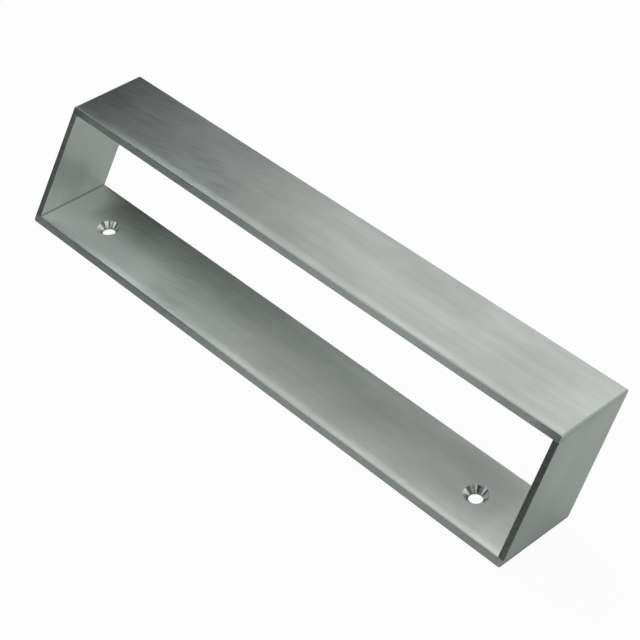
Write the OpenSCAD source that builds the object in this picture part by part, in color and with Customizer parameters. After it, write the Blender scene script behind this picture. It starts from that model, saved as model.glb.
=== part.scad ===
// Bar handle: a closed loop of four flat plates that leans to one side.
// X runs along the handle, Y across the base plate and Z out of the surface
// that the handle is screwed to. The origin is midway between the two
// fixing holes, on the back face.

/* [Loop] */
// Length of the grip bar and of the base plate
loop_l = 235; // [190:1:320]
// Height from the back face to the top of the grip bar
loop_h = 40; // [32:1:60]
// Width of the grip bar and of the base plate
bar_w = 30; // [24:1:40]
// Thickness of the grip bar and of the base plate
bar_t = 2.5; // [2:0.1:4]
// Thickness of the two end plates
end_t = 2.5; // [2:0.1:5]
// Lean of the whole loop away from upright, in degrees
lean = 30; // [0:1:35]

/* [Corners and edges] */
// Radius ground on the outer corners of the base plate's ends
base_corner_r = 1.6; // [0.4:0.1:1.9]
// Radius ground on the outer corners of the grip bar's ends
grip_corner_r = 0.8; // [0.4:0.1:1.9]
// How far from each long edge of the grip bar and base plate its round starts
edge_round = 0.5; // [0.2:0.05:0.55]
// Flat broken on every edge that leans
edge_break = 0.15; // [0.05:0.05:0.5]

/* [Fixing holes] */
// Diameter of the screw holes
hole_d = 4.8; // [3.5:0.1:6]
// Diameter of the countersinks at the plate's face
sink_d = 8.4; // [7.5:0.1:11]
// Angle of the countersinks, from wall to wall
sink_angle = 90; // [80:1:120]
// Distance of each screw hole from its end of the base plate
hole_end = 25; // [15:1:40]

/* [Hidden] */
$fn = 96;
steel = [0.66, 0.68, 0.66];

// Sideways run of the lean, up the given height
function lean_run(height) = height * tan(lean);

// The holes sit midway across the base plate's leaning section
hole_row_y = (bar_w + lean_run(bar_t)) / 2;
hole_pitch = loop_l - 2 * hole_end;
sink_depth = (sink_d - hole_d) / 2 / tan(sink_angle / 2);

// The end plates fill the height between the long plates, and their rims
// are square to the lean, so they are narrower than the long plates
end_h = loop_h - 2 * bar_t;
end_w = bar_w * cos(lean);
end_stock_l = (loop_h + bar_w) / cos(lean);

// Extra length that carries a cut clear through its plate
over = 1;

function unit(v) = v / norm(v);

// Outline with every corner of a convex one cut off by the given size,
// measured along both edges
function cut_corner(before, at, after, size) =
    [at + size * unit(before - at), at + size * unit(after - at)];
function broken(pts, size) = [
    for (i = [0 : len(pts) - 1])
        let (before = pts[(i + len(pts) - 1) % len(pts)])
        let (after = pts[(i + 1) % len(pts)])
        each cut_corner(before, pts[i], after, size)
];

// What comes off one corner of an outline, outside a round that starts at
// the given distance from the corner on both edges
module corner_rubbing(before, at, after, size) {
    to_before = unit(before - at);
    to_after = unit(after - at);
    inward = unit(to_before + to_after);
    half_angle = acos(to_before * inward);
    centre = at + inward * size / cos(half_angle);
    difference() {
        polygon([at + size * to_before, centre, at + size * to_after, at - over * inward]);
        translate(centre)
            circle(size * tan(half_angle));
    }
}

module soft_outline(pts, size) {
    difference() {
        polygon(pts);
        for (i = [0 : len(pts) - 1])
            corner_rubbing(
                pts[(i + len(pts) - 1) % len(pts)], pts[i], pts[(i + 1) % len(pts)], size
            );
    }
}

// Section of a long plate in Y and Z, standing on z = 0 with bevelled rims
// that follow the lean
function leaning_section(width, thickness) = [
    [0, 0],
    [width, 0],
    [width + lean_run(thickness), thickness],
    [lean_run(thickness), thickness]
];

// A section drawn in Y and Z, run along X and centred on x = 0
module run_along_x(length) {
    translate([-length / 2, 0, 0])
        rotate([90, 0, 90])
            linear_extrude(length)
                children();
}

// What is ground off one outer corner at +X, below z = 0 and along Y
module corner_grinding(radius) {
    translate([loop_l / 2, 0, 0])
        rotate([90, 0, 0])
            linear_extrude(4 * bar_w, center = true)
                difference() {
                    translate([-radius, -over])
                        square([radius + over, radius + over]);
                    translate([-radius, radius])
                        circle(radius);
                }
}

// A long plate with its outer face on z = 0 and its ends' outer corners ground
module long_plate(radius) {
    difference() {
        run_along_x(loop_l)
            soft_outline(leaning_section(bar_w, bar_t), edge_round);
        corner_grinding(radius);
        mirror([1, 0, 0])
            corner_grinding(radius);
    }
}

// A screw hole with its countersink opening at the plate's inner face
module countersunk_hole() {
    translate([0, 0, -over])
        cylinder(h = bar_t + 2 * over, d = hole_d);
    translate([0, 0, bar_t - sink_depth])
        cylinder(h = sink_depth, d1 = hole_d, d2 = sink_d);
}

// The loop's own axes start at the near lower edge of the base plate
module in_loop_axes() {
    translate([0, -hole_row_y, 0])
        children();
}

// What comes off the four leaning edges at the loop's ends, in one line over
// the base plate, the end plate and the grip bar
module leaning_edge_breaks() {
    rotate([-lean, 0, 0])
        translate([0, 0, -end_stock_l])
            linear_extrude(3 * end_stock_l)
                for (end = [-1, 1], rim = [-1, 1])
                    translate([end * loop_l / 2, (1 + rim) * end_w / 2])
                        polygon([
                            [-end * (edge_break + over), rim * over],
                            [end * over, -rim * (edge_break + over)],
                            [end * over, rim * over]
                        ]);
}

// Flat bar cut square, leant over and trimmed level at both ends, with its
// outer face on x = 0 and its thickness towards -X
module leaning_end_plate() {
    section = [[-end_t, 0], [0, 0], [0, end_w], [-end_t, end_w]];
    intersection() {
        rotate([-lean, 0, 0])
            translate([0, 0, -end_stock_l / 2])
                linear_extrude(2 * end_stock_l)
                    polygon(broken(section, edge_break));
        translate([-end_t - over, -end_stock_l, bar_t])
            cube([end_t + 2 * over, 4 * end_stock_l, end_h]);
    }
}

module base_plate() {
    color(steel)
        difference() {
            in_loop_axes()
                difference() {
                    long_plate(base_corner_r);
                    leaning_edge_breaks();
                }
            for (side = [-1, 1])
                translate([side * hole_pitch / 2, 0, 0])
                    countersunk_hole();
        }
}

// The grip bar is the base plate's section turned end over end about X, so
// its ground corners face out
module grip_bar() {
    color(steel)
        in_loop_axes()
            difference() {
                translate([0, bar_w + lean_run(loop_h), loop_h])
                    rotate([180, 0, 0])
                        long_plate(grip_corner_r);
                leaning_edge_breaks();
            }
}

module right_end_plate() {
    color(steel)
        in_loop_axes()
            translate([loop_l / 2, 0, 0])
                leaning_end_plate();
}

module left_end_plate() {
    color(steel)
        mirror([1, 0, 0])
            in_loop_axes()
                translate([loop_l / 2, 0, 0])
                    leaning_end_plate();
}

base_plate();
grip_bar();
left_end_plate();
right_end_plate();
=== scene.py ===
import math

import bpy
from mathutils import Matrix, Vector


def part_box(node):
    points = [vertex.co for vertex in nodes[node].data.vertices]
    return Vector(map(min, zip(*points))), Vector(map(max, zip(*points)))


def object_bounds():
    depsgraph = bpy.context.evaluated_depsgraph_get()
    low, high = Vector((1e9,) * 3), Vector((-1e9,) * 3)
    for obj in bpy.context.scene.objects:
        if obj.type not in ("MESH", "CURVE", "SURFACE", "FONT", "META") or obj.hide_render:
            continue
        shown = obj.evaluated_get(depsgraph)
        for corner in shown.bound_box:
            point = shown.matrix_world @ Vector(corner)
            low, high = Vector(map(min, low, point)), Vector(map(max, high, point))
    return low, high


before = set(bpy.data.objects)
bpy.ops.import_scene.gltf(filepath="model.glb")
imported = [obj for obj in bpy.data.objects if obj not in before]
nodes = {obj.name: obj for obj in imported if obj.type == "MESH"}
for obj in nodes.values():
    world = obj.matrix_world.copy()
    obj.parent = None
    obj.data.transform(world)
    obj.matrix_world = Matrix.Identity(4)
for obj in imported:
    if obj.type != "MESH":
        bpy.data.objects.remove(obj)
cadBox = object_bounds()
scene = bpy.context.scene
mm = 0.001
print("frame loaded:", ", ".join(sorted(nodes)))


def linearColour(hexText):
    # sRGB hex to the linear values that a shader takes
    parts = [int(hexText[i : i + 2], 16) / 255 for i in (1, 3, 5)]
    return [c / 12.92 if c <= 0.04045 else ((c + 0.055) / 1.055) ** 2.4 for c in parts] + [1.0]


def addNode(tree, kind, settings=None, **inputs):
    # one node with its settings; an input goes by its name, or by its number as in0, and takes a value, another
    # node's socket, or a node, whose first output in use is meant
    node = tree.nodes.new(kind)
    for name, value in (settings or {}).items():
        setattr(node, name, value)
    for name, value in inputs.items():
        if name.startswith("in") and name[2:].isdigit():
            socket = node.inputs[int(name[2:])]
        else:
            socket = next(s for s in node.inputs if s.enabled and s.name == name.replace("_", " "))
        if isinstance(value, bpy.types.Node):
            value = next(s for s in value.outputs if s.enabled)
        if isinstance(value, bpy.types.NodeSocket):
            tree.links.new(value, socket)
        else:
            socket.default_value = value
    return node


def newMaterial(name):
    material = bpy.data.materials.new(name)
    material.use_nodes = True
    material.node_tree.nodes.clear()
    return material, material.node_tree


def wear(material, *nodeNames):
    # puts the material in every slot of the CAD pieces named
    for nodeName in nodeNames:
        slots = nodes[nodeName].data.materials
        if not len(slots):
            slots.append(material)
        for i in range(len(slots)):
            slots[i] = material


# the loop's lean and the places where its plates meet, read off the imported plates
baseLow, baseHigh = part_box("base_plate")
gripLow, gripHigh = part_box("grip_bar")
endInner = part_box("right_end_plate")[0][0]
leanAngle = math.atan((gripLow[1] - baseLow[1]) / (gripLow[2] - baseLow[2]))
leanWay = (0, math.sin(leanAngle), math.cos(leanAngle))
rimOut = (0, -math.cos(leanAngle), math.sin(leanAngle))
nearRim = -baseLow[1] * math.cos(leanAngle)
middleHeight = (baseHigh[2] + gripLow[2]) / 2
halfClear = (gripLow[2] - baseHigh[2]) / 2

# a pair is a range: a mark starts to show at the first value, and shows in full at the second
steel = {
    "colour": "#C0C4C1",
    "roughness": 0.33,
    "anisotropy": 0.97,
    "grainLength": 25 * mm,  # one scratch of the belt
    "grainWidth": 0.7 * mm,  # coarser than the real 0.05 mm, which is too fine to show
    "grainDepth": 0.001 * mm,
    "streakColour": "#B8BCB9",
    "streakLength": 55 * mm,
    "streakWidth": 3 * mm,
    "streakNoise": (0.35, 0.65),
    "streakSpread": 0.014,  # how much the roughness wanders
    "endStreakSpread": 0.006,  # the short ends came off the belt more evenly
    "endStreakShare": 0.35,
    "stainColour": "#A5AAA7",  # wiping left cloudy patches, a shade darker than the rest
    "stainLength": 26 * mm,
    "stainWidth": 12 * mm,
    "stainNoise": (0.42, 0.68),
    "stainShare": 0.45,
    "endStainShare": 0.3,
    "arrisShadeColour": "#969D9A",  # painted shade keeps the rounded edges darker than the flats, to dim their highlight
    "arrisRoughness": 0.22,  # and hands rub them smooth
    "arrisFacing": (0.995, 0.98),
    "seamColour": "#989E9B",  # painted shade in the inside corners, together with the dark weld line there
    "seamWidth": 0.6 * mm,
    "flatFacing": 0.9,  # a surface counts as a flat when it faces that flat's way by more than this share
    "tolerance": 0.01 * mm,
}

# what only the base plate and the grip bar show
longPlate = {
    "sandingColour": "#868D8A",  # hand sanding slanted across the grain, most of it at the left
    "sandingSlant": 10,
    "sandingLength": 10 * mm,
    "sandingWidth": 1.2 * mm,
    "sandingNoise": (0.47, 0.74),
    "sandingAlong": (-10 * mm, -60 * mm),
    "sandingShareLeft": 0.42,
    "sandingShareRight": 0.08,
    "rubbedColour": "#E2E6E3",  # painted reflection: the inside faces are painted lighter beside the welds
    "rubbedFromEnd": (15.6 * mm, 8.4 * mm),
    "rubbedAlongEdge": (74.1 * mm, 39.9 * mm),  # at the left end it runs on along the near edge
    "rubbedFromEdge": (19.5 * mm, 9 * mm),
    "rubbedShareLeft": 0.9,
    "rubbedShareRight": 0.3,
    "rimEndColour": "#868E8B",  # the grip bar's rims are darker near its ends
    "rimEndReach": 14 * mm,
    "softEdge": 3 * mm,  # the faces are rubbed down towards the long edge that fingers curl round
    "softEdgeDrop": 0.4 * mm,
    "softEdgePower": 2.0,
    "endFacing": 0.7,  # a surface counts as a plate's end when it faces along the handle by more than this share
}

# what only the two end plates show
endPlate = {
    "fileMarkColour": "#8F9693",  # their rims were filed by hand and kept short dark marks
    "fileMarkSize": 0.9 * mm,
    "fileMarkNoise": (0.42, 0.62),
    "fileMarkShare": 0.7,
}

# the screw holes' countersinks are turned by the drill: smoother, with rings for a grain
sinks = {
    "fromMiddle": 92.5 * mm,
    "radius": 4.3 * mm,
    "roughness": 0.17,
}


def brushedStainlessSteel(name, alongX):
    # stainless flat bar, linished with a fine belt: long soft streaks that stretch reflections across the grain
    material, tree = newMaterial(name)
    place = addNode(tree, "ShaderNodeTexCoord").outputs["Object"]
    placeParts = addNode(tree, "ShaderNodeSeparateXYZ", Vector=place)
    placeX, placeY, placeZ = placeParts.outputs
    fromCentre = addNode(tree, "ShaderNodeMath", {"operation": "ABSOLUTE"}, in0=placeX)
    raised = addNode(tree, "ShaderNodeMath", {"operation": "SUBTRACT"}, in0=placeZ, in1=middleHeight)
    fromHalfway = addNode(tree, "ShaderNodeMath", {"operation": "ABSOLUTE"}, in0=raised)

    # how squarely the surface faces along the handle, up or down, and out of the rims
    facing = addNode(tree, "ShaderNodeNewGeometry").outputs["Normal"]
    facingParts = addNode(tree, "ShaderNodeSeparateXYZ", Vector=facing)
    endward = addNode(tree, "ShaderNodeMath", {"operation": "ABSOLUTE"}, in0=facingParts.outputs["X"])
    level = addNode(tree, "ShaderNodeMath", {"operation": "ABSOLUTE"}, in0=facingParts.outputs["Z"])
    rimward = addNode(tree, "ShaderNodeVectorMath", {"operation": "DOT_PRODUCT"}, in0=facing, in1=rimOut)
    rimSquare = addNode(tree, "ShaderNodeMath", {"operation": "ABSOLUTE"}, in0=rimward)
    onRim = addNode(
        tree, "ShaderNodeMath", {"operation": "GREATER_THAN"}, in0=rimSquare, in1=steel["flatFacing"],
    )
    if alongX:
        onEnd = addNode(
            tree, "ShaderNodeMath", {"operation": "GREATER_THAN"}, in0=endward, in1=longPlate["endFacing"],
        )

    def beltNoise(length, width, detail=2.0, roughness=0.5):
        # the belt ran along the long plates, and up the leaning ends over all three plates
        drawnOut = addNode(
            tree, "ShaderNodeMapping", {"vector_type": "TEXTURE"},
            Vector=place, Rotation=(-leanAngle, 0, 0), Scale=(width, width, length),
        )
        if alongX:
            alongPlate = addNode(
                tree, "ShaderNodeMapping", {"vector_type": "TEXTURE"}, Vector=place, Scale=(length, width, width),
            )
            drawnOut = addNode(
                tree, "ShaderNodeMix", {"data_type": "VECTOR"}, Factor=onEnd, A=alongPlate, B=drawnOut,
            )
        return addNode(
            tree, "ShaderNodeTexNoise", {"noise_dimensions": "3D"},
            Vector=drawnOut, Scale=1.0, Detail=detail, Roughness=roughness,
        )

    streaks = beltNoise(steel["streakLength"], steel["streakWidth"])
    streakShare = addNode(
        tree, "ShaderNodeMapRange", Value=streaks,
        From_Min=steel["streakNoise"][0], From_Max=steel["streakNoise"][1],
        To_Max=1.0 if alongX else steel["endStreakShare"],
    )
    colour = addNode(
        tree, "ShaderNodeMix", {"data_type": "RGBA"},
        Factor=streakShare, A=linearColour(steel["colour"]), B=linearColour(steel["streakColour"]),
    )
    spread = steel["streakSpread"] if alongX else steel["endStreakSpread"]
    rough = addNode(
        tree, "ShaderNodeMapRange", Value=streakShare,
        To_Min=steel["roughness"] - spread, To_Max=steel["roughness"] + spread,
    )
    stains = beltNoise(steel["stainLength"], steel["stainWidth"], detail=3.0, roughness=0.6)
    stainShare = addNode(
        tree, "ShaderNodeMapRange", Value=stains,
        From_Min=steel["stainNoise"][0], From_Max=steel["stainNoise"][1],
        To_Max=steel["stainShare"] if alongX else steel["endStainShare"],
    )
    colour = addNode(
        tree, "ShaderNodeMix", {"data_type": "RGBA"},
        Factor=stainShare, A=colour, B=linearColour(steel["stainColour"]),
    )

    # the inside faces of the loop, which end where the next plate begins
    onward, cornerAt = (fromCentre, endInner) if alongX else (fromHalfway, halfClear)
    inward, insideAt = (fromHalfway, halfClear) if alongX else (fromCentre, endInner)
    inside = addNode(
        tree, "ShaderNodeMath", {"operation": "LESS_THAN"}, in0=inward, in1=insideAt + steel["tolerance"],
    )

    if alongX:
        slanting = addNode(
            tree, "ShaderNodeMapping", {"vector_type": "TEXTURE"},
            Vector=place, Rotation=(0, 0, math.radians(longPlate["sandingSlant"])),
            Scale=(longPlate["sandingLength"], longPlate["sandingWidth"], longPlate["sandingWidth"]),
        )
        sanding = addNode(
            tree, "ShaderNodeTexNoise", {"noise_dimensions": "3D"},
            Vector=slanting, Scale=1.0, Detail=2.0, Roughness=0.5,
        )
        sandingMark = addNode(
            tree, "ShaderNodeMapRange", Value=sanding,
            From_Min=longPlate["sandingNoise"][0], From_Max=longPlate["sandingNoise"][1],
        )
        sandingShare = addNode(
            tree, "ShaderNodeMapRange", {"interpolation_type": "SMOOTHSTEP"}, Value=placeX,
            From_Min=longPlate["sandingAlong"][0], From_Max=longPlate["sandingAlong"][1],
            To_Min=longPlate["sandingShareRight"], To_Max=longPlate["sandingShareLeft"],
        )
        sanded = addNode(tree, "ShaderNodeMath", {"operation": "MULTIPLY"}, in0=sandingMark, in1=sandingShare)
        colour = addNode(
            tree, "ShaderNodeMix", {"data_type": "RGBA"},
            Factor=sanded, A=colour, B=linearColour(longPlate["sandingColour"]),
        )

        towardsRim = addNode(tree, "ShaderNodeVectorMath", {"operation": "DOT_PRODUCT"}, in0=place, in1=rimOut)
        # painted reflection: a lighter patch on the inside faces beside the welds, and along the near edge at the
        # left end
        besideWeld = addNode(
            tree, "ShaderNodeMapRange", {"interpolation_type": "SMOOTHSTEP"}, Value=fromCentre,
            From_Min=endInner - longPlate["rubbedFromEnd"][0], From_Max=endInner - longPlate["rubbedFromEnd"][1],
        )
        alongEdge = addNode(
            tree, "ShaderNodeMapRange", {"interpolation_type": "SMOOTHSTEP"}, Value=placeX,
            From_Min=longPlate["rubbedAlongEdge"][0] - endInner, From_Max=longPlate["rubbedAlongEdge"][1] - endInner,
        )
        nearEdge = addNode(
            tree, "ShaderNodeMapRange", {"interpolation_type": "SMOOTHSTEP"}, Value=towardsRim,
            From_Min=nearRim - longPlate["rubbedFromEdge"][0], From_Max=nearRim - longPlate["rubbedFromEdge"][1],
        )
        strip = addNode(tree, "ShaderNodeMath", {"operation": "MULTIPLY"}, in0=alongEdge, in1=nearEdge)
        zones = addNode(tree, "ShaderNodeMath", {"operation": "MAXIMUM"}, in0=besideWeld, in1=strip)
        rubbedShare = addNode(
            tree, "ShaderNodeMapRange", Value=placeX, From_Min=-mm, From_Max=mm,
            To_Min=longPlate["rubbedShareLeft"], To_Max=longPlate["rubbedShareRight"],
        )
        rubbed = addNode(tree, "ShaderNodeMath", {"operation": "MULTIPLY"}, in0=zones, in1=rubbedShare)
        paintedReflectionInside = addNode(tree, "ShaderNodeMath", {"operation": "MULTIPLY"}, in0=rubbed, in1=inside)
        colour = addNode(
            tree, "ShaderNodeMix", {"data_type": "RGBA"},
            Factor=paintedReflectionInside, A=colour, B=linearColour(longPlate["rubbedColour"]),
        )

    # painted shade darkens each inside face towards the inside corner, together with the dark weld line
    corner = addNode(
        tree, "ShaderNodeMapRange", Value=onward, From_Min=cornerAt - steel["seamWidth"], From_Max=cornerAt,
    )
    seam = addNode(tree, "ShaderNodeMath", {"operation": "MULTIPLY"}, in0=corner, in1=inside)
    colour = addNode(
        tree, "ShaderNodeMix", {"data_type": "RGBA"},
        Factor=seam, A=colour, B=linearColour(steel["seamColour"]),
    )

    # the arrises are where the surface faces none of the plates' flats
    flatter = addNode(tree, "ShaderNodeMath", {"operation": "MAXIMUM"}, in0=level, in1=rimSquare)
    flattest = addNode(tree, "ShaderNodeMath", {"operation": "MAXIMUM"}, in0=flatter, in1=endward)
    arris = addNode(
        tree, "ShaderNodeMapRange", Value=flattest,
        From_Min=steel["arrisFacing"][0], From_Max=steel["arrisFacing"][1],
    )
    rough = addNode(
        tree, "ShaderNodeMix", {"data_type": "FLOAT"}, Factor=arris, A=rough, B=steel["arrisRoughness"],
    )
    flatColour = colour
    # painted shade on the arrises, darker than the flats, to dim their highlight
    colour = addNode(
        tree, "ShaderNodeMix", {"data_type": "RGBA"},
        Factor=arris, A=colour, B=linearColour(steel["arrisShadeColour"]),
    )

    scratches = beltNoise(steel["grainLength"], steel["grainWidth"])
    height = addNode(tree, "ShaderNodeMath", {"operation": "MULTIPLY"}, in0=scratches, in1=steel["grainDepth"])

    if alongX:
        grain = addNode(
            tree, "ShaderNodeMix", {"data_type": "VECTOR"}, Factor=onEnd, A=(1, 0, 0), B=leanWay,
        )
        # the grip bar's rims darken towards its ends
        nearWeld = addNode(
            tree, "ShaderNodeMapRange", {"interpolation_type": "SMOOTHSTEP"}, Value=fromCentre,
            From_Min=gripHigh[0] - longPlate["rimEndReach"], From_Max=gripHigh[0],
        )
        isGrip = addNode(tree, "ShaderNodeMath", {"operation": "GREATER_THAN"}, in0=placeZ, in1=gripLow[2])
        onGripRim = addNode(tree, "ShaderNodeMath", {"operation": "MULTIPLY"}, in0=isGrip, in1=onRim)
        rimEndDark = addNode(tree, "ShaderNodeMath", {"operation": "MULTIPLY"}, in0=nearWeld, in1=onGripRim)
        colour = addNode(
            tree, "ShaderNodeMix", {"data_type": "RGBA"},
            Factor=rimEndDark, A=colour, B=linearColour(longPlate["rimEndColour"]),
        )

        # inside a countersink: near a hole's middle and not level
        side = addNode(tree, "ShaderNodeMath", {"operation": "SIGN"}, in0=placeX)
        middle = addNode(tree, "ShaderNodeMath", {"operation": "MULTIPLY"}, in0=side, in1=sinks["fromMiddle"])
        fromHole = addNode(tree, "ShaderNodeMath", {"operation": "SUBTRACT"}, in0=placeX, in1=middle)
        radial = addNode(tree, "ShaderNodeCombineXYZ", X=fromHole, Y=placeY, Z=0.0)
        distance = addNode(tree, "ShaderNodeVectorMath", {"operation": "LENGTH"}, in0=radial)
        near = addNode(tree, "ShaderNodeMath", {"operation": "LESS_THAN"}, in0=distance, in1=sinks["radius"])
        slanted = addNode(tree, "ShaderNodeMath", {"operation": "LESS_THAN"}, in0=level, in1=steel["flatFacing"])
        inSink = addNode(tree, "ShaderNodeMath", {"operation": "MULTIPLY"}, in0=near, in1=slanted)
        rings = addNode(
            tree, "ShaderNodeVectorMath", {"operation": "CROSS_PRODUCT"}, in0=(0, 0, 1), in1=radial,
        )
        grain = addNode(tree, "ShaderNodeMix", {"data_type": "VECTOR"}, Factor=inSink, A=grain, B=rings)
        rough = addNode(
            tree, "ShaderNodeMix", {"data_type": "FLOAT"}, Factor=inSink, A=rough, B=sinks["roughness"],
        )
        colour = addNode(tree, "ShaderNodeMix", {"data_type": "RGBA"}, Factor=inSink, A=colour, B=flatColour)

        # how far the faces have fallen off at their near long edges
        soft = addNode(
            tree, "ShaderNodeMapRange", Value=towardsRim,
            From_Min=nearRim - longPlate["softEdge"], From_Max=nearRim,
        )
        fall = addNode(tree, "ShaderNodeMath", {"operation": "POWER"}, in0=soft, in1=longPlate["softEdgePower"])
        height = addNode(
            tree, "ShaderNodeMath", {"operation": "MULTIPLY_ADD"},
            in0=fall, in1=-longPlate["softEdgeDrop"], in2=height,
        )
    else:
        grain = leanWay
        fileMarks = addNode(
            tree, "ShaderNodeTexNoise", {"noise_dimensions": "3D"},
            Vector=place, Scale=1 / endPlate["fileMarkSize"], Detail=2.0, Roughness=0.6,
        )
        fileMarkShare = addNode(
            tree, "ShaderNodeMapRange", Value=fileMarks,
            From_Min=endPlate["fileMarkNoise"][0], From_Max=endPlate["fileMarkNoise"][1],
            To_Max=endPlate["fileMarkShare"],
        )
        filed = addNode(tree, "ShaderNodeMath", {"operation": "MULTIPLY"}, in0=fileMarkShare, in1=onRim)
        colour = addNode(
            tree, "ShaderNodeMix", {"data_type": "RGBA"},
            Factor=filed, A=colour, B=linearColour(endPlate["fileMarkColour"]),
        )

    across = addNode(tree, "ShaderNodeVectorMath", {"operation": "CROSS_PRODUCT"}, in0=facing, in1=grain)
    tangent = addNode(tree, "ShaderNodeVectorMath", {"operation": "NORMALIZE"}, in0=across)
    bump = addNode(tree, "ShaderNodeBump", Height=height, Strength=1.0, Distance=1.0)
    shader = addNode(
        tree, "ShaderNodeBsdfPrincipled",
        Base_Color=colour, Metallic=1.0, Roughness=rough,
        Anisotropic=steel["anisotropy"], Normal=bump, Tangent=tangent,
    )
    addNode(tree, "ShaderNodeOutputMaterial", Surface=shader)
    return material


wear(brushedStainlessSteel("brushed_stainless_long", True), "base_plate", "grip_bar")
wear(brushedStainlessSteel("brushed_stainless_end", False), "left_end_plate", "right_end_plate")
print("steel done")

studio = {
    "floorColour": "#D6DDDA",
    "floorSize": 8.0,
    "floorDrop": 0.3 * mm,
    "floorWhite": 0.95,  # share of the floor that shows as plain white
    "floorWhiteInMetal": 0.1,  # the same in the metal, which mirrors the paper's shade too
    "skyForObjects": 0.3,
    "boxColour": "#FFFCF8",
    "cardColour": "#F8FFFF",
}

# cards that stand round the handle: each is seen only in the metal, as bright as its glow
cards = {
    "left_black_card": {"glow": 0.02, "corner": (-0.5, -0.5, 0), "sideA": (0, 1.0, 0), "sideB": (0, 0, 0.47)},
    "left_middle_card": {"glow": 0.45, "corner": (-0.498, -0.28, 0), "sideA": (0, 0.56, 0), "sideB": (0, 0, 0.28)},
    "left_top_near_card": {"glow": 0.5, "corner": (-0.5, -0.5, 0.47), "sideA": (0, 0.33, 0), "sideB": (0, 0, 0.13)},
    "left_top_bright_card": {
        "glow": 1.5, "corner": (-0.499, -0.17, 0.49), "sideA": (0, 0.34, 0), "sideB": (0, 0, 0.11),
    },
    "left_top_far_card": {"glow": 0.5, "corner": (-0.5, 0.17, 0.47), "sideA": (0, 0.16, 0), "sideB": (0, 0, 0.13)},
    "left_top_corner_card": {
        "glow": 0.02, "corner": (-0.5, 0.33, 0.47), "sideA": (0, 0.17, 0), "sideB": (0, 0, 0.13),
    },
    "back_grey_card": {"glow": 0.5, "corner": (-0.5, 0.5, 0.3), "sideA": (0.33, 0, 0), "sideB": (0, 0, 0.3)},
    "front_black_card": {"glow": 0.02, "corner": (-0.5, -0.5, 0), "sideA": (1.0, 0, 0), "sideB": (0, 0, 0.15)},
    "front_left_card": {"glow": 0.2, "corner": (-0.5, -0.5, 0.15), "sideA": (0.5, 0, 0), "sideB": (0, 0, 0.45)},
    "front_left_bright_card": {
        "glow": 1.4, "corner": (-0.5, -0.499, 0.35), "sideA": (0.25, 0, 0), "sideB": (0, 0, 0.25),
    },
    "right_grey_card": {"glow": 0.35, "corner": (0.499, 0.2, 0.3), "sideA": (0, 0.3, 0), "sideB": (0, 0, 0.22)},
    "left_near_bright_card": {
        "glow": 1.2, "corner": (-0.499, -0.3, 0.34), "sideA": (0, 0.2, 0), "sideB": (0, 0, 0.11),
    },
    "back_left_low_card": {"glow": 0.3, "corner": (-0.5, 0.499, 0.1), "sideA": (0.25, 0, 0), "sideB": (0, 0, 0.2)},
    "camera_side_card": {"glow": 0.03, "corner": (0.08, -0.5, 0.598), "sideA": (0.3, 0, 0), "sideB": (0, 0.25, 0)},
    "right_front_black_card": {
        "glow": 0.03, "corner": (0.499, -0.5, 0.3), "sideA": (0, 0.45, 0), "sideB": (0, 0, 0.3),
    },
    "front_right_card": {"glow": 0.05, "corner": (0, -0.5, 0.15), "sideA": (0.5, 0, 0), "sideB": (0, 0, 0.45)},
}

# large soft boxes: each glow comes on top of the white room's own, and the key light is kept out of the metal
softBoxes = {
    "overhead": {"glow": 0.4, "middle": (0, 0, 0.6), "size": (1.0, 1.0), "turn": (0, 0, 0)},
    "right": {"glow": 0.4, "middle": (0.5, 0, 0.3), "size": (0.6, 1.0), "turn": (0, 90, 0)},
    "back": {"glow": 0.2, "middle": (0.165, 0.5, 0.3), "size": (0.67, 0.6), "turn": (-90, 0, 0)},
    "key": {"glow": 11, "middle": (-0.45, 0.35, 0.55), "size": (0.3, 0.3), "turn": (-32, -39, 0), "inMetal": False},
}


def seenAsWhite(tree):
    # 1 for the rays that should find a white backdrop: those of the camera, and those off metal or through glass
    path = addNode(tree, "ShaderNodeLightPath")
    some = addNode(
        tree, "ShaderNodeMath", {"operation": "MAXIMUM"},
        in0=path.outputs["Is Camera Ray"], in1=path.outputs["Is Glossy Ray"],
    )
    return addNode(
        tree, "ShaderNodeMath", {"operation": "MAXIMUM"}, in0=some, in1=path.outputs["Is Transmission Ray"],
    )


def flatBoard(name, corner, sideA, sideB, material):
    mesh = bpy.data.meshes.new(name)
    mesh.from_pydata([corner, corner + sideA, corner + sideA + sideB, corner + sideB], [], [(0, 1, 2, 3)])
    mesh.materials.append(material)
    board = bpy.data.objects.new(name, mesh)
    scene.collection.objects.link(board)
    return board


def makeFloor():
    # white paper for the camera, pale grey paper for the light that falls on it
    material, tree = newMaterial("white_paper")
    paper = addNode(tree, "ShaderNodeBsdfDiffuse", Color=linearColour(studio["floorColour"]))
    glow = addNode(tree, "ShaderNodeEmission", Color=(1, 1, 1, 1), Strength=1.0)
    byCamera = addNode(tree, "ShaderNodeLightPath").outputs["Is Camera Ray"]
    white = addNode(
        tree, "ShaderNodeMapRange", Value=byCamera, To_Min=studio["floorWhiteInMetal"], To_Max=studio["floorWhite"],
    )
    share = addNode(tree, "ShaderNodeMath", {"operation": "MULTIPLY"}, in0=seenAsWhite(tree), in1=white)
    mix = addNode(tree, "ShaderNodeMixShader", in0=share, in1=paper, in2=glow)
    addNode(tree, "ShaderNodeOutputMaterial", Surface=mix)
    size = studio["floorSize"]
    corner = Vector((-size / 2, -size / 2, 0))
    floor = flatBoard("floor", corner, Vector((size, 0, 0)), Vector((0, size, 0)), material)
    floor.location = (0, 0, cadBox[0][2] - studio["floorDrop"])


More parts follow.
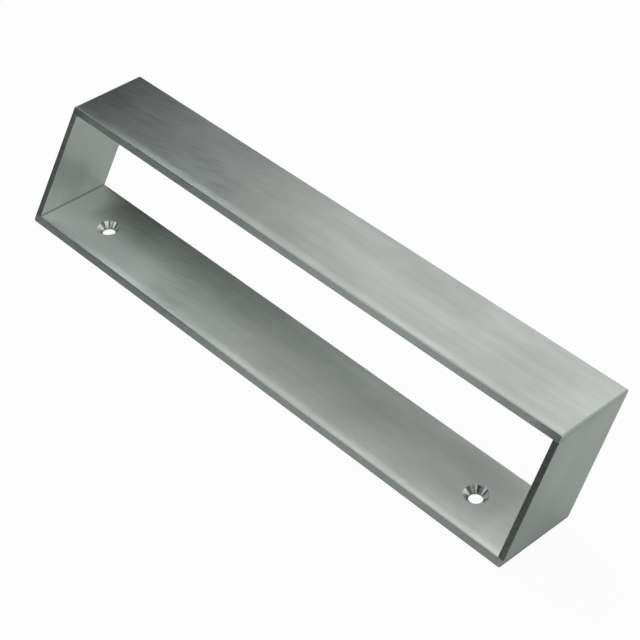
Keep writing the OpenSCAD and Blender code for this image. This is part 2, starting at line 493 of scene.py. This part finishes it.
def makeWorld():
    world = bpy.data.worlds.new("studio")
    scene.world = world
    world.use_nodes = True
    tree = world.node_tree
    tree.nodes.clear()
    strength = addNode(
        tree, "ShaderNodeMapRange", Value=seenAsWhite(tree), To_Min=studio["skyForObjects"], To_Max=1.0,
    )
    sky = addNode(tree, "ShaderNodeBackground", Color=(1, 1, 1, 1), Strength=strength)
    addNode(tree, "ShaderNodeOutputWorld", Surface=sky)


def makeCard(name, card):
    material, tree = newMaterial(name)
    face = addNode(
        tree, "ShaderNodeEmission", Color=linearColour(studio["cardColour"]), Strength=card["glow"],
    )
    addNode(tree, "ShaderNodeOutputMaterial", Surface=face)
    board = flatBoard(name, Vector(card["corner"]), Vector(card["sideA"]), Vector(card["sideB"]), material)
    board.visible_camera = False
    board.visible_diffuse = False
    board.visible_shadow = False


def makeSoftBox(name, box):
    light = bpy.data.lights.new(name, "AREA")
    light.shape = "RECTANGLE"
    light.size, light.size_y = box["size"]
    light.color = linearColour(studio["boxColour"])[:3]
    light.energy = box["glow"] * math.pi * box["size"][0] * box["size"][1]
    lamp = bpy.data.objects.new(name, light)
    lamp.location = box["middle"]
    lamp.rotation_euler = [math.radians(a) for a in box["turn"]]
    lamp.visible_camera = False
    lamp.visible_glossy = box.get("inMetal", True)
    scene.collection.objects.link(lamp)


makeFloor()
makeWorld()
for name, card in cards.items():
    makeCard(name, card)
for name, box in softBoxes.items():
    makeSoftBox(name + "_soft_box", box)
print("studio done")

view = {
    "azimuth": 47.26,
    "elevation": 40.16,
    "aim": (13.5 * mm, 7.2 * mm, 20 * mm),
    "distance": 615 * mm,
    "lens": 105,
    "sensorWidth": 36,
    "clipStart": 10 * mm,
}


def makeCamera():
    camera = bpy.data.objects.new("camera", bpy.data.cameras.new("camera"))
    scene.collection.objects.link(camera)
    camera.data.lens = view["lens"]
    camera.data.sensor_width = view["sensorWidth"]
    camera.data.clip_start = view["clipStart"]
    azimuth, elevation = math.radians(view["azimuth"]), math.radians(view["elevation"])
    back = Vector((
        math.sin(azimuth) * math.cos(elevation), -math.cos(azimuth) * math.cos(elevation), math.sin(elevation),
    ))
    camera.location = Vector(view["aim"]) + back * view["distance"]
    camera.rotation_euler = (-back).to_track_quat("-Z", "Y").to_euler()
    scene.camera = camera


makeCamera()
scene.view_settings.view_transform = "Standard"
print("camera done")
